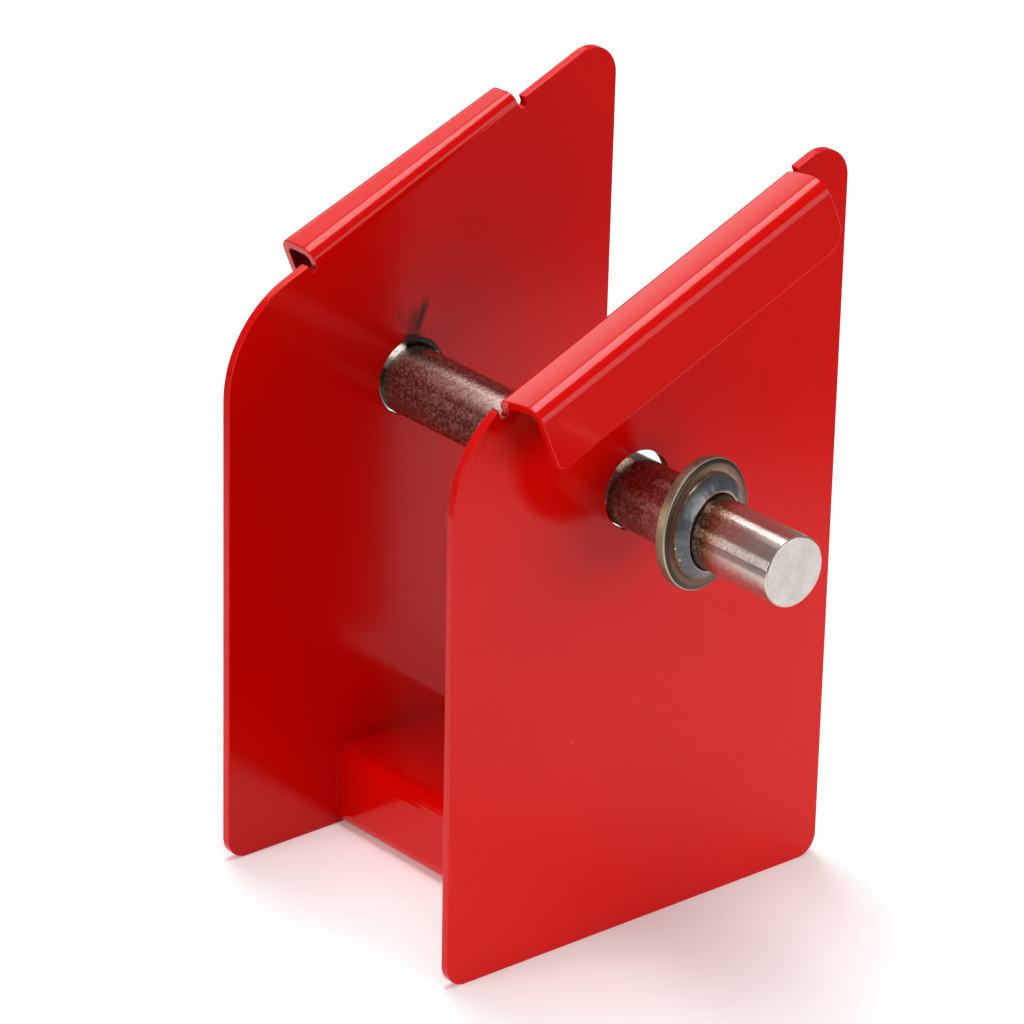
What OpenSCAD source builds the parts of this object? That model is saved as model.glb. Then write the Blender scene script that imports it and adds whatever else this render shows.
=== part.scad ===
// Wheel clamp: two upright cheek plates joined by a tube at the foot, with a
// loose locking bolt that slides through a hole in each cheek.
//
// Axes: +X runs along the bolt towards its handle end (right), +Y from the front
// edges to the back edges, +Z up. Origin: on the ground, midway between the
// cheeks, straight below the bolt holes. All lengths are in millimetres.

/* [Cheek plates] */
// Thickness of the sheet steel
sheet_t = 3.5; // [2.5:0.1:5]
// Clear gap between the two cheeks
inner_gap = 117; // [90:1:160]
// Depth of a cheek along the ground
base_depth = 167; // [140:1:200]
// Height at which the sloping top edge meets the line of the front edge
front_height = 202.7; // [180:0.1:230]
// Rise of the top edge towards the back, in degrees
top_rise = 22.4; // [15:0.1:28]
// Backward lean of the back edge, in degrees
back_lean = 0.9; // [0:0.1:3]
// Radius of the two corners at the foot
foot_r = 8; // [3:0.5:12]
// Radius of the large corner at the front of the top edge
nose_r = 42; // [20:1:50]
// Radius of the corner at the highest point
crown_r = 12; // [6:0.5:18]

/* [Bolt holes] */
// Diameter of the hole in each cheek
bore_d = 28; // [26.5:0.1:32]
// Distance of the holes behind the front edges
bore_setback = 80; // [60:1:95]
// Height of the holes above the ground
bore_z = 164; // [140:1:175]

/* [Hems] */
// Height of the top of a hem above the free top edge, square to that edge
hem_rise = 4; // [3:0.1:6]
// Outer radius of both bends of a hem
hem_bend_r = 6; // [5.5:0.1:8]
// Drop of a hem's outer leg below the top of the hem
hem_drop = 26; // [18:0.5:34]
// Free edge in front of the right cheek's hem, along the slope
right_hem_front = 22.7; // [20:0.1:60]
// Free edge behind the right cheek's hem, to the unrounded corner
right_hem_back = 28.6; // [26:0.1:60]
// Width of the right cheek's hem from the inner face outwards
right_hem_width = 23; // [18:0.5:30]
// Free edge in front of the left cheek's hem, along the slope
left_hem_front = 40.2; // [20:0.1:60]
// Free edge behind the left cheek's hem, to the unrounded corner
left_hem_back = 48.6; // [26:0.1:60]
// Width of the left cheek's hem from the inner face outwards
left_hem_width = 18.5; // [16:0.5:30]
// Radius of the leg's lower corner at the front
leg_front_r = 3; // [1:0.5:6]
// Radius of the leg's lower corner at the back
leg_back_r = 8; // [3:0.5:12]
// Width of the relief notch at each end of a hem
notch_w = 3; // [2:0.1:5]

/* [Foot tube] */
// Depth of the rectangular tube
tube_depth = 60; // [40:1:80]
// Height of the tube
tube_height = 30; // [20:1:40]
// Wall of the tube
tube_wall = 3; // [2:0.1:4]
// Outer corner radius of the tube
tube_corner_r = 6; // [5:0.5:9]
// Distance of the tube behind the front edges
tube_setback = 48; // [20:1:70]
// Leg of the fillet welds behind the tube
tube_bead_leg = 4.5; // [3:0.5:6]

/* [Locking bolt] */
// Diameter of the round bar
rod_d = 25; // [20:0.1:26]
// Length of the round bar
rod_length = 205; // [190:1:240]
// How far the bar stands out past the left cheek
rod_tail = 2; // [1:0.5:10]
// Bevel at both ends of the bar
rod_bevel = 0.8; // [0.4:0.1:2]
// Gap left under the bar where it rests in its holes
rest_gap = 0.2; // [0.1:0.05:0.5]

/* [Collar] */
// Outer diameter of the collar washer
collar_d = 46; // [42:0.5:54]
// Thickness of the collar washer
collar_t = 4.5; // [3:0.1:5]
// How much wider the washer's bore is than the bar
collar_play = 2.4; // [2.3:0.1:3]
// Rounding of the washer's outer edges
collar_edge_r = 1.4; // [0.5:0.1:1.4]
// Gap along the bar between the right cheek and the middle of the washer
collar_gap = 33; // [26:0.5:36]
// How far the washer leans off square to the bar, in degrees
collar_lean = 11.3; // [0:0.1:11.5]
// Which way the washer leans, in degrees from +Y towards +Z
collar_lean_way = 7; // [0:1:90]
// Height of the washer's middle above the middle of the bar
collar_lift = 1; // [0:0.1:1]
// Outer radius of the weld around the bar
bead_r = 18.4; // [16:0.1:20]
// Height of the weld's ridge above the washer's face
bead_height = 4; // [3:0.1:6]
// Distance of the weld's ridge from the bar
bead_ridge_gap = 1.9; // [1.5:0.1:2.5]

/* [Hidden] */
$fn = 96;
cheek_x = inner_gap / 2;
outer_x = cheek_x + sheet_t;
rod_z = bore_z - (bore_d - rod_d) / 2 + rest_gap;
rod_left_x = -outer_x - rod_tail;
collar_x = outer_x + collar_gap;
collar_bore_d = rod_d + collar_play;
// The direction of the top edge, as [y, z]
along = [cos(top_rise), sin(top_rise)];
// The four corners of a cheek before they are rounded, as [y, z]
front_y = -bore_setback;
front_foot = [front_y, 0];
back_foot = [front_y + base_depth, 0];
nose = [front_y, front_height];
crown_reach = (base_depth + front_height * tan(back_lean))
    / (cos(top_rise) - sin(top_rise) * tan(back_lean));
crown = nose + crown_reach * along;
tube_front_y = front_y + tube_setback;
// Height of the line where a hem starts to bend, square to the top edge
fold_line = hem_rise - hem_bend_r;
notch_deep = -fold_line + notch_w / 2;
// Height of the cuts for a hem, which run out past the top edge
cut_high = hem_drop;
// How far the weld ring is drawn into the bar before the bar is cut out of it
bead_root = 1.4;
// Height of the weld's outer toe, and the drop on both sides of its ridge
bead_toe = 0.8;
bead_dip = 0.4;

// ---- helpers ----

// The sliver between a corner at p, with edges towards a and b, and its round of radius r
module corner_sliver(p, a, b, r) {
    ua = (a - p) / norm(a - p);
    ub = (b - p) / norm(b - p);
    half = acos(ua * ub) / 2;
    reach = r / tan(half);
    centre = p + (ua + ub) / norm(ua + ub) * r / sin(half);
    outside = p - (ua + ub);
    difference() {
        polygon([outside, p + ua * reach - ub, p + ua * reach, centre, p + ub * reach, p + ub * reach - ua]);
        translate(centre) circle(r);
    }
}

// Turns a flat drawing in y and z into a slab from x = 0 to x = thick
module slab(thick) {
    rotate([90, 0, 90]) linear_extrude(thick) children();
}

// Moves a flat drawing from the top edge's own directions into y and z
module on_top_edge() {
    translate(nose) rotate(top_rise) children();
}

// ---- cheek plates ----

module cheek_outline() {
    difference() {
        polygon([front_foot, back_foot, crown, nose]);
        corner_sliver(front_foot, back_foot, nose, foot_r);
        corner_sliver(back_foot, crown, front_foot, foot_r);
        corner_sliver(crown, nose, back_foot, crown_r);
        corner_sliver(nose, front_foot, crown, nose_r);
        translate([0, bore_z]) circle(d = bore_d);
    }
}

// What is cut from the top edge: the band that becomes the hem, and a notch at each end
module hem_cutout(start, end) {
    on_top_edge() {
        translate([start, fold_line]) square([end - start, cut_high]);
        for (s = [start - notch_w / 2, end + notch_w / 2]) {
            translate([s, -notch_deep + notch_w / 2]) circle(d = notch_w);
            translate([s - notch_w / 2, -notch_deep + notch_w / 2]) square([notch_w, cut_high]);
        }
    }
}

// Quarter of a bend around its centre, starting at the angle 90 * turn
module bend(turn) {
    rotate(90 * turn) intersection() {
        difference() {
            circle(hem_bend_r);
            circle(hem_bend_r - sheet_t);
        }
        square(hem_bend_r);
    }
}

// Cross-section of a hem: x outwards from the cheek's inner face, y square to the top edge
module hem_section(width) {
    translate([hem_bend_r, fold_line]) bend(1);
    translate([hem_bend_r, hem_rise - sheet_t]) square([width - 2 * hem_bend_r, sheet_t]);
    translate([width - hem_bend_r, fold_line]) bend(0);
}

// The hem's outer leg seen from the side, with its lower corners rounded
module leg_outline(length) {
    high = hem_drop - hem_bend_r;
    difference() {
        translate([0, -high]) square([length, high]);
        corner_sliver([0, -high], [length, -high], [0, 0], leg_front_r);
        corner_sliver([length, -high], [0, -high], [length, 0], leg_back_r);
    }
}

// A hem in place on the right cheek, between two distances along the top edge
module hem(start, end, width) {
    translate([cheek_x, front_y, front_height]) rotate([top_rise, 0, 0]) {
        translate([0, end, 0]) rotate([90, 0, 0]) linear_extrude(end - start) hem_section(width);
        translate([width - sheet_t, start, fold_line]) slab(sheet_t) leg_outline(end - start);
    }
}

// A whole cheek, bent from one sheet, on the right-hand side
module cheek(hem_front, hem_back, hem_width) {
    hem_end = crown_reach - hem_back;
    translate([cheek_x, 0, 0]) slab(sheet_t) difference() {
        cheek_outline();
        hem_cutout(hem_front, hem_end);
    }
    hem(hem_front, hem_end, hem_width);
}

module right_cheek() {
    color("#c81e1e") cheek(right_hem_front, right_hem_back, right_hem_width);
}

module left_cheek() {
    color("#c81e1e") mirror([1, 0, 0]) cheek(left_hem_front, left_hem_back, left_hem_width);
}

// ---- foot tube ----

// Rectangle with rounded corners, its lower left corner at the origin
module rounded_rectangle(wide, high, r) {
    translate([r, 0]) square([wide - 2 * r, high]);
    translate([0, r]) square([wide, high - 2 * r]);
    for (y = [r, wide - r], z = [r, high - r]) translate([y, z]) circle(r);
}

module foot_tube() {
    color("#c81e1e") translate([-cheek_x, tube_front_y, 0]) slab(inner_gap) difference() {
        rounded_rectangle(tube_depth, tube_height, tube_corner_r);
        translate([tube_wall, tube_wall])
            rounded_rectangle(tube_depth - 2 * tube_wall, tube_height - 2 * tube_wall,
                tube_corner_r - tube_wall);
    }
}

// Convex fillet in the upright corner between the tube's back wall and the right cheek
module tube_weld() {
    sunk = tube_bead_leg / 2;
    translate([cheek_x, tube_front_y + tube_depth, tube_corner_r])
        linear_extrude(tube_height - 2 * tube_corner_r) intersection() {
            translate([-tube_bead_leg, 0]) square(tube_bead_leg);
            translate([sunk, -sunk]) circle(norm([tube_bead_leg + sunk, sunk]));
        }
}

module right_tube_weld() {
    color("#b81a1a") tube_weld();
}

module left_tube_weld() {
    color("#b81a1a") mirror([1, 0, 0]) tube_weld();
}

// ---- locking bolt ----

module bolt_bar() {
    r = rod_d / 2;
    color("#b9b2ac") translate([rod_left_x, 0, rod_z]) rotate([0, 90, 0]) rotate_extrude()
        polygon([
            [0, 0], [r - rod_bevel, 0], [r, rod_bevel],
            [r, rod_length - rod_bevel], [r - rod_bevel, rod_length], [0, rod_length]
        ]);
}

// Puts its children at the middle of the washer, leaning with the washer
module collar_place() {
    translate([collar_x, 0, rod_z + collar_lift])
        rotate(a = collar_lean, v = [0, -sin(collar_lean_way), cos(collar_lean_way)])
            rotate([0, 90, 0]) children();
}

module collar_washer() {
    wide = (collar_d - collar_bore_d) / 2;
    color("#8a7f68") collar_place() rotate_extrude()
        translate([collar_bore_d / 2, -collar_t / 2]) {
            square([wide - collar_edge_r, collar_t]);
            translate([0, collar_edge_r]) square([wide, collar_t - 2 * collar_edge_r]);
            for (y = [collar_edge_r, collar_t - collar_edge_r])
                translate([wide - collar_edge_r, y]) circle(collar_edge_r);
        }
}

// Weld on the handle side of the washer: a broad low ring between the washer's
// face and the bar, with a low toe outside and a ridge beside the bar. Its middle
// lies half way from the washer's middle down to the bar's.
module collar_weld() {
    root_r = rod_d / 2 - collar_lift - bead_root;
    ridge_r = rod_d / 2 + bead_ridge_gap;
    dip_h = bead_height - bead_dip;
    color("#5d646b") difference() {
        collar_place() translate([collar_lift / 2, 0, collar_t / 2]) rotate_extrude() {
            polygon([
                [root_r, 0], [bead_r, 0], [bead_r - bead_toe / 2, bead_toe],
                [ridge_r + 2 * bead_dip, dip_h], [ridge_r, bead_height], [root_r, dip_h]
            ]);
        }
        translate([rod_left_x, 0, rod_z]) rotate([0, 90, 0]) cylinder(d = rod_d, h = rod_length);
    }
}

right_cheek();
left_cheek();
foot_tube();
right_tube_weld();
left_tube_weld();
bolt_bar();
collar_washer();
collar_weld();
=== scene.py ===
# %% [markdown]
# # Dressing a wheel clamp
# The clamp is two cheek plates of bent sheet steel, joined at the foot by a short
# rectangular tube, with a loose bar that locks it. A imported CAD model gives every
# size. This lesson adds what a CAD model leaves out: soft painted edges, weld beads
# with ripples, plating, heat colours, and a small studio to see them in.
#
# The first cell loads the CAD model. Its parts stay exactly where they are, and the
# box around them is kept, so that the finished picture can be compared with it.

import math

import bmesh
import bpy
import numpy as np
from mathutils import Matrix, Vector


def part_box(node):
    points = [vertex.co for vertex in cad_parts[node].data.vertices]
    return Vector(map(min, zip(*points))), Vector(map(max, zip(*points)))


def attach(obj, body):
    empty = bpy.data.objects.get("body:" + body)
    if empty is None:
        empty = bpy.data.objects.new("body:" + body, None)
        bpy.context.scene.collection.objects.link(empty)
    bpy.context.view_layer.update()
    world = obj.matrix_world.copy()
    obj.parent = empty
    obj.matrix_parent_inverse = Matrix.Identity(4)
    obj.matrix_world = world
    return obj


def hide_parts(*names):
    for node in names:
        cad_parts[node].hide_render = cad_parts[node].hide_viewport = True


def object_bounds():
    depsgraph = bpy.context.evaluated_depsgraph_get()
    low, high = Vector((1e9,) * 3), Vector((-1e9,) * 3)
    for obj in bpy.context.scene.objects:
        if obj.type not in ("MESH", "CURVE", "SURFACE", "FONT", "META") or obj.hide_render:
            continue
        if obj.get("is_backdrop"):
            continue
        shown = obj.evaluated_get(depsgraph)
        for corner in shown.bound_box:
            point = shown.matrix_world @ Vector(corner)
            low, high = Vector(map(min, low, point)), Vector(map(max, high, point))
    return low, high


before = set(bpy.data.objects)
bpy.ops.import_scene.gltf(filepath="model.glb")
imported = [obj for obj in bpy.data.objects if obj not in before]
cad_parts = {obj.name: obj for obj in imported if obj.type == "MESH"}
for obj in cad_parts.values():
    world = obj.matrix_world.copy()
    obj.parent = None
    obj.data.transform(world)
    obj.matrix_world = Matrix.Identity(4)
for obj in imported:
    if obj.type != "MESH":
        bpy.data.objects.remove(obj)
cad_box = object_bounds()
MM = 0.001

# %% [markdown]
# ## Small helpers
# Colours are easiest to pick as sRGB hex values, but a shader wants linear light, so
# one function turns the first into the second. A node tree is easiest to read as a
# list of its nodes, so each tree gets a function that adds one node, sets it up and
# joins its inputs. A new material starts with a Principled surface and the object
# coordinates that every pattern here is laid out in. The next two finish a mesh: one
# turns its faces outwards, and one turns live modifiers into a plain mesh, since only
# plain meshes are exported well.

# %% Helpers for colours and nodes
def linear(hex_colour):
    """The linear red, green, blue and alpha of an sRGB hex colour."""
    parts = [int(hex_colour[i:i + 2], 16) / 255 for i in (1, 3, 5)]
    return [c / 12.92 if c <= 0.04045 else ((c + 0.055) / 1.055) ** 2.4 for c in parts] + [1.0]


def fill(node, values):
    """Fills inputs by name or, from a tuple, in order. A value may be a node, an output or a colour."""
    if isinstance(values, tuple):
        pairs = zip([socket for socket in node.inputs if socket.enabled], values)
    else:
        pairs = [(node.inputs[name], value) for name, value in values.items()]
    for socket, value in pairs:
        if isinstance(value, bpy.types.Node):
            value = next(output for output in value.outputs if output.enabled)
        if isinstance(value, bpy.types.NodeSocket):
            node.id_data.links.new(value, socket)
        elif isinstance(value, str) and value.startswith("#"):
            socket.default_value = linear(value)
        else:
            socket.default_value = value


def adder(tree):
    """Makes the function that adds nodes to this tree."""
    def add(kind, values=(), stops=(), **settings):
        node = tree.nodes.new(kind if "Node" in kind else "ShaderNode" + kind)
        for name, value in settings.items():
            setattr(node, name, value)
        fill(node, values)
        for count, (place, colour) in enumerate(stops):
            elements = node.color_ramp.elements
            if count == 0:
                elements.remove(elements[-1])
                elements[0].position = place
            stop = elements[0] if count == 0 else elements.new(place)
            stop.color = linear(colour)
        return node
    return add


# %% Helpers for materials and meshes
def new_material(name):
    """A material, the function that adds its nodes, its object coordinates and its surface."""
    material = bpy.data.materials.new(name)
    material.use_nodes = True
    material.node_tree.nodes.clear()
    add = adder(material.node_tree)
    surface = add("BsdfPrincipled")
    add("OutputMaterial", (surface,))
    return material, add, add("TexCoord").outputs["Object"], surface


def face_outwards(piece):
    mesh = bmesh.new()
    mesh.from_mesh(piece.data)
    bmesh.ops.recalc_face_normals(mesh, faces=mesh.faces)
    mesh.to_mesh(piece.data)
    mesh.free()


def plain_mesh(piece):
    """Replaces a piece's live modifiers by the mesh that they make."""
    graph = bpy.context.evaluated_depsgraph_get()
    made = bpy.data.meshes.new_from_object(piece.evaluated_get(graph), depsgraph=graph)
    piece.modifiers.clear()
    piece.data = made
    print(f"{piece.name}: {len(made.polygons)} faces")


def points_of(node):
    """A CAD part's own points, each once, in metres."""
    points = [tuple(round(c, 7) for c in v.co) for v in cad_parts[node].data.vertices]
    return np.array(sorted(set(points)))


def new_piece(name, points, faces, edges=()):
    mesh = bpy.data.meshes.new(name)
    mesh.from_pydata([tuple(p) for p in points], list(edges), [tuple(f) for f in faces])
    piece = bpy.data.objects.new(name, mesh)
    bpy.context.scene.collection.objects.link(piece)
    return piece


# %% [markdown]
# ## Red powder coat
# The cheeks and the tube are sprayed with dry polyester powder and baked. The powder
# melts into a thick glossy skin. What the eye gets from that is a strong even red, a
# faint orange peel that bends reflections a little, a few dust nibs under the skin,
# and a slightly lighter line along each sheared edge, partly where the coat pulls thin
# and partly a painted highlight.
#
# The skin could be an image, but a procedural one has no seams and needs no map. Each
# pattern is scaled from a real size: orange peel has waves of about 2.5 mm, and a
# dust nib is about half a millimetre across. The Bevel node finds the edges: where
# its rounded normal leaves the surface's own one, an edge is near.
#
# The left cheek has dark strokes above its hole, and the last of them, along the top
# of the rim, is painted shade. Both holes are chipped at the rim where the bar was
# pushed at them. The masks for these are measured from the holes, whose place comes
# from the bar. A second, darker and duller coat for the inside of the hems is painted
# shade for the hollow under each hem.

# %% Find the bar and the holes it runs through
bar_points = points_of("bolt_bar")
bar_start, bar_end = float(bar_points[:, 0].min()), float(bar_points[:, 0].max())
bar_z = float(bar_points[:, 2].min() + bar_points[:, 2].max()) / 2
bar_r = float(np.hypot(bar_points[:, 1], bar_points[:, 2] - bar_z).max())
inner_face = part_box("foot_tube")[1].x
rim = [p for p in points_of("left_cheek")
       if p[0] > -inner_face - 0.1 * MM and math.hypot(p[1], p[2] - bar_z) < bar_r + 5 * MM]
hole_z = float(min(p[2] for p in rim) + max(p[2] for p in rim)) / 2
hole_r = float(max(p[2] for p in rim) - min(p[2] for p in rim)) / 2
bar_long = bar_end - bar_start
print(f"bar {2 * bar_r / MM:.1f} mm thick, {bar_long / MM:.0f} mm long, {bar_z / MM:.1f} mm up")
print(f"hole {2 * hole_r / MM:.1f} mm wide, {hole_z / MM:.1f} mm up")


# %% Dark strokes on the left cheek
# Each stroke: how far its middle is from the hole's in y and z, its lean, half its
# length, half its width and its strength
# The last stroke lies along the top of the hole's rim and is painted shade
STROKES = (((3.8, 20.8), 22.0, 7.8, 1.9, 0.95), ((0.7, 19.6), 4.0, 6.6, 3.0, 0.60),
           ((-4.6, 23.0), -20.0, 4.2, 1.4, 0.30), ((0.6, 14.7), 98.0, 4.6, 1.7, 1.0))


def dark_strokes(add, place):
    """A mask of the strokes, with ragged borders."""
    marks = None
    ragged = add("TexNoise", {"Vector": place, "Scale": 1 / (1.6 * MM), "Detail": 3.0})
    for (y, z), lean, half_length, half_width, strength in STROKES:
        local = add("Mapping", {
            "Vector": place, "Location": (-inner_face, y * MM, hole_z + z * MM),
            "Rotation": (-math.radians(lean), 0, 0),
            "Scale": (1 * MM, half_width * MM, half_length * MM)}, vector_type="TEXTURE")
        axes = add("SeparateXYZ", (local,))
        across, length, depth = [add("Math", (axes.outputs[way],), operation="ABSOLUTE") for way in "YZX"]
        worst = add("Math", (across, length), operation="MAXIMUM")
        worst = add("Math", (worst, depth), operation="MAXIMUM")
        wavy = add("Math", (ragged, 0.7, worst), operation="MULTIPLY_ADD")
        stroke = add("MapRange", (wavy, 1.5, 0.75, 0.0, strength))
        marks = stroke if marks is None else add("Math", (marks, stroke), operation="MAXIMUM")
    return marks


# %% Chips round the rims of the holes
SCRAPED_STEEL, TORN_EDGE = "#241c1a", "#ff4a38"


def chips(add, place):
    """A mask of the chips where the bar knocks, and the colour that they lay bare."""
    axes = add("SeparateXYZ", (place,))
    up = add("Math", (axes.outputs["Z"], hole_z), operation="SUBTRACT")
    flat = add("CombineXYZ", (0.0, axes.outputs["Y"], up))
    from_hole = add("VectorMath", (flat,), operation="LENGTH")
    near = add("MapRange", (from_hole, hole_r + 0.1 * MM, hole_r + 1.0 * MM, 0.6, 0.0))
    flakes = add("TexNoise", {"Vector": place, "Scale": 1 / (2.2 * MM), "Detail": 3.0})
    chipped = add("Math", (flakes, near), operation="ADD")
    # On the bar's front side the coat is only torn, so its fresh edge shows light instead of dark
    torn = add("MapRange", (axes.outputs["Y"], -0.7 * hole_r, -0.55 * hole_r, 1.0, 0.0))
    bare = add("Mix", (torn, SCRAPED_STEEL, TORN_EDGE), data_type="RGBA")
    return add("MapRange", (chipped, 1.12, 1.16)), bare


# %% Powder coat material
COAT_DEEP, COAT_RED, COAT_THIN_AND_HIGHLIGHT = "#c80400", "#d60500", "#e32a1e"
STROKE_DARK, NIB_TINT = "#3b2520", "#ff8578"
PEEL_WAVE, NIB_GAP, TONE_WAVE, EDGE_SEEN = 2.5 * MM, 15 * MM, 70 * MM, 0.7 * MM
PEEL_ON_SHEET, PEEL_ON_WELD = 0.010 * MM, 0.030 * MM


def powder_coat(name, peel_height, deep=COAT_DEEP, red=COAT_RED, gloss_range=(0.10, 0.16)):
    material, add, place, surface = new_material(name)
    tone = add("TexNoise", {"Vector": place, "Scale": 1 / TONE_WAVE, "Detail": 2.0})
    colour = add("Mix", (tone, deep, red), data_type="RGBA")

    rounded = add("Bevel", {"Radius": EDGE_SEEN}, samples=4)
    own = add("NewGeometry")
    facing = add("VectorMath", (rounded, own.outputs["Normal"]), operation="DOT_PRODUCT")
    # Near an edge the colour is lightened, partly for the thinner coat and partly as a painted highlight
    edge = add("MapRange", (facing, 0.99, 0.8, 0.0, 0.8))
    marks = dark_strokes(add, place)
    chip, bare = chips(add, place)
    nibs = add("TexVoronoi", {"Vector": place, "Scale": 1 / NIB_GAP})
    nib = add("MapRange", (nibs, 0.012, 0.03, 1.0, 0.0))
    speck = add("Math", (nib, 0.45), operation="MULTIPLY")
    for mask, tint in ((edge, COAT_THIN_AND_HIGHLIGHT), (marks, STROKE_DARK), (chip, bare), (speck, NIB_TINT)):
        colour = add("Mix", (mask, colour, tint), data_type="RGBA")

    peel = add("TexNoise", {"Vector": place, "Scale": 1 / PEEL_WAVE, "Detail": 1.0})
    bump = add("Bump", {"Distance": peel_height, "Height": peel})
    bump = add("Bump", {"Distance": 0.05 * MM, "Height": nib, "Normal": bump})
    bump = add("Bump", {"Distance": 0.08 * MM, "Height": chip, "Normal": bump}, invert=True)
    gloss = add("MapRange", (tone, 0.3, 0.7, *gloss_range))
    gloss_with_strokes = add("Mix", (marks, gloss, 0.45), data_type="FLOAT")
    fill(surface, {"Base Color": colour, "Roughness": gloss_with_strokes, "IOR": 1.3, "Normal": bump})
    return material


painted_sheet = powder_coat("red_powder_coat_on_sheet", PEEL_ON_SHEET)
painted_weld = powder_coat("red_powder_coat_on_weld", PEEL_ON_WELD)
# The fold's coat is darker and duller: painted shade for the hollow under each hem
fold_shade_coat = powder_coat("powder_coat_painted_shade_in_fold", PEEL_ON_WELD, "#4c0d08", "#6a120c", (0.30, 0.45))
print("powder coats:", painted_sheet.name, painted_weld.name, fold_shade_coat.name)


# %% [markdown]
# ## The cheek plates
# Each cheek is one piece of 3.5 mm sheet: a flat plate with a hole, whose top edge is
# bent outwards and down again as a stiff hem, between two small relief notches. A
# sheet is easiest to draw as a sheet: one skin without thickness follows the plate,
# the bend, the flat land on top, the second bend and the outer leg. Solidify then
# gives it the thickness of the steel, and a Bevel modifier rounds its cut edges.
#
# The CAD part has the same shape, but its bends come as a few broad facets, and gloss
# paint shows each of them. Here a bend has 20 steps. The sizes are those of the CAD
# part, so the box of each finished cheek is compared with the CAD part's box.

# %% Sizes of the sheet, in millimetres
SHEET, DEPTH, FRONT_HEIGHT, SETBACK = 3.5, 167.0, 202.7, 80.0
SLOPE, LEAN = math.radians(22.4), math.radians(0.9)
FOOT_R, NOSE_R, CROWN_R = 8.0, 42.0, 12.0
HEM_RISE, BEND_R, HEM_DROP, NOTCH = 4.0, 6.0, 26.0, 3.0
LEG_FRONT_R, LEG_BACK_R = 3.0, 8.0
# Free edge in front of and behind each hem, its width, how far its outer side is
# pulled in and down at its back end, because the bend was not quite true, and the
# radius and height of its inner bend, which on the right came out lower than the outer
HEMS = {"right": (22.7, 28.6, 23.0, 0.0, 0.0, 5.2, 1.5), "left": (40.2, 48.6, 18.5, 3.3, 1.0, 6.0, 4.0)}
COLUMNS, BEND_STEPS, LAND_STEPS, HOLE_PARTS = 24, 20, 10, 128

nose = Vector((-SETBACK, FRONT_HEIGHT))
up_slope = Vector((math.cos(SLOPE), math.sin(SLOPE)))
off_slope = Vector((-up_slope.y, up_slope.x))
edge_length = (DEPTH + FRONT_HEIGHT * math.tan(LEAN)) / (math.cos(SLOPE) - math.sin(SLOPE) * math.tan(LEAN))
crown = nose + edge_length * up_slope
print(f"sloping edge {edge_length:.1f} mm long, crown {crown.y:.1f} mm up")


# %% The cheek seen from the side
def arc(middle, radius, first, last, parts):
    """Points on an arc between two angles, as y and z."""
    angles = np.linspace(first, last, parts + 1)
    return [middle + radius * Vector((math.cos(a), math.sin(a))) for a in angles]


def rounded(before, here, after, radius, parts=24):
    """A corner of an outline that runs anticlockwise, rounded."""
    back, on = (before - here).normalized(), (after - here).normalized()
    half = back.angle(on) / 2
    middle = here + (back + on).normalized() * radius / math.sin(half)
    first = math.atan2(-back.x, back.y)
    return arc(middle, radius, first - math.pi, first - math.pi + (math.pi - 2 * half), parts)


def on_slope(along, off):
    return nose + along * up_slope + off * off_slope


def plate_outline(start, end, columns, fold):
    """The plate's outline, and where in it the back edge ends and the hem's fold line begins."""
    front_foot, back_foot = Vector((-SETBACK, 0)), Vector((DEPTH - SETBACK, 0))
    outline = rounded(nose, front_foot, back_foot, FOOT_R)
    outline += rounded(front_foot, back_foot, crown, FOOT_R)
    back_edge_ends = len(outline)
    outline += rounded(back_foot, crown, nose, CROWN_R)
    outline += [on_slope(end + NOTCH, 0)]
    outline += arc(on_slope(end + NOTCH / 2, fold), NOTCH / 2, SLOPE, SLOPE - math.pi, 16)[:-1]
    fold_begins = len(outline)
    outline += [on_slope(along, fold) for along in columns]
    outline += arc(on_slope(start - NOTCH / 2, fold), NOTCH / 2, SLOPE, SLOPE - math.pi, 16)[1:]
    # The big nose arc starts behind the notch when the hem comes far forward
    reach, stop = NOSE_R * math.tan((math.pi / 2 - SLOPE) / 2), start - NOTCH
    drop = NOSE_R - math.sqrt(NOSE_R ** 2 - max(0, reach - stop) ** 2)
    outline += [on_slope(stop, -drop)]
    nose_arc = rounded(crown, nose, front_foot, NOSE_R, 64)
    outline += [p for p in nose_arc if (p - nose).dot(up_slope) < stop - 0.01]
    return outline, back_edge_ends, fold_begins


# %% The hem's section
def hem_rows(width, inner_r, inner_rise):
    """The hem's section as (outwards, off the slope, share of the way out), fold line first."""
    inner, outer = Vector((inner_r, inner_rise - inner_r)), Vector((width - BEND_R, HEM_RISE - BEND_R))
    # Where the outer bend is higher, the land rises, most steeply beside the inner bend
    rise = math.atan2(HEM_RISE - inner_rise, outer.x - inner.x)
    steep, flat = math.pi / 2 + 1.35 * rise, math.pi / 2 + 0.5 * rise
    rows = arc(inner, inner_r, math.pi, steep, BEND_STEPS)
    first, last = rows[-1], outer + BEND_R * Vector((math.cos(flat), math.sin(flat)))
    third = (last - first).length / 3
    knee = first + third * Vector((math.sin(steep), -math.cos(steep)))
    ankle = last - third * Vector((math.sin(flat), -math.cos(flat)))
    for t in np.linspace(0, 1, LAND_STEPS + 1)[1:].tolist():
        left = 1 - t
        rows.append(first * left ** 3 + knee * 3 * t * left ** 2 + ankle * 3 * t * t * left + last * t ** 3)
    rows += arc(outer, BEND_R, flat, 0, BEND_STEPS)[1:]
    return [(row.x, row.y, min(1.0, row.x / (width - BEND_R))) for row in rows]


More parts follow.
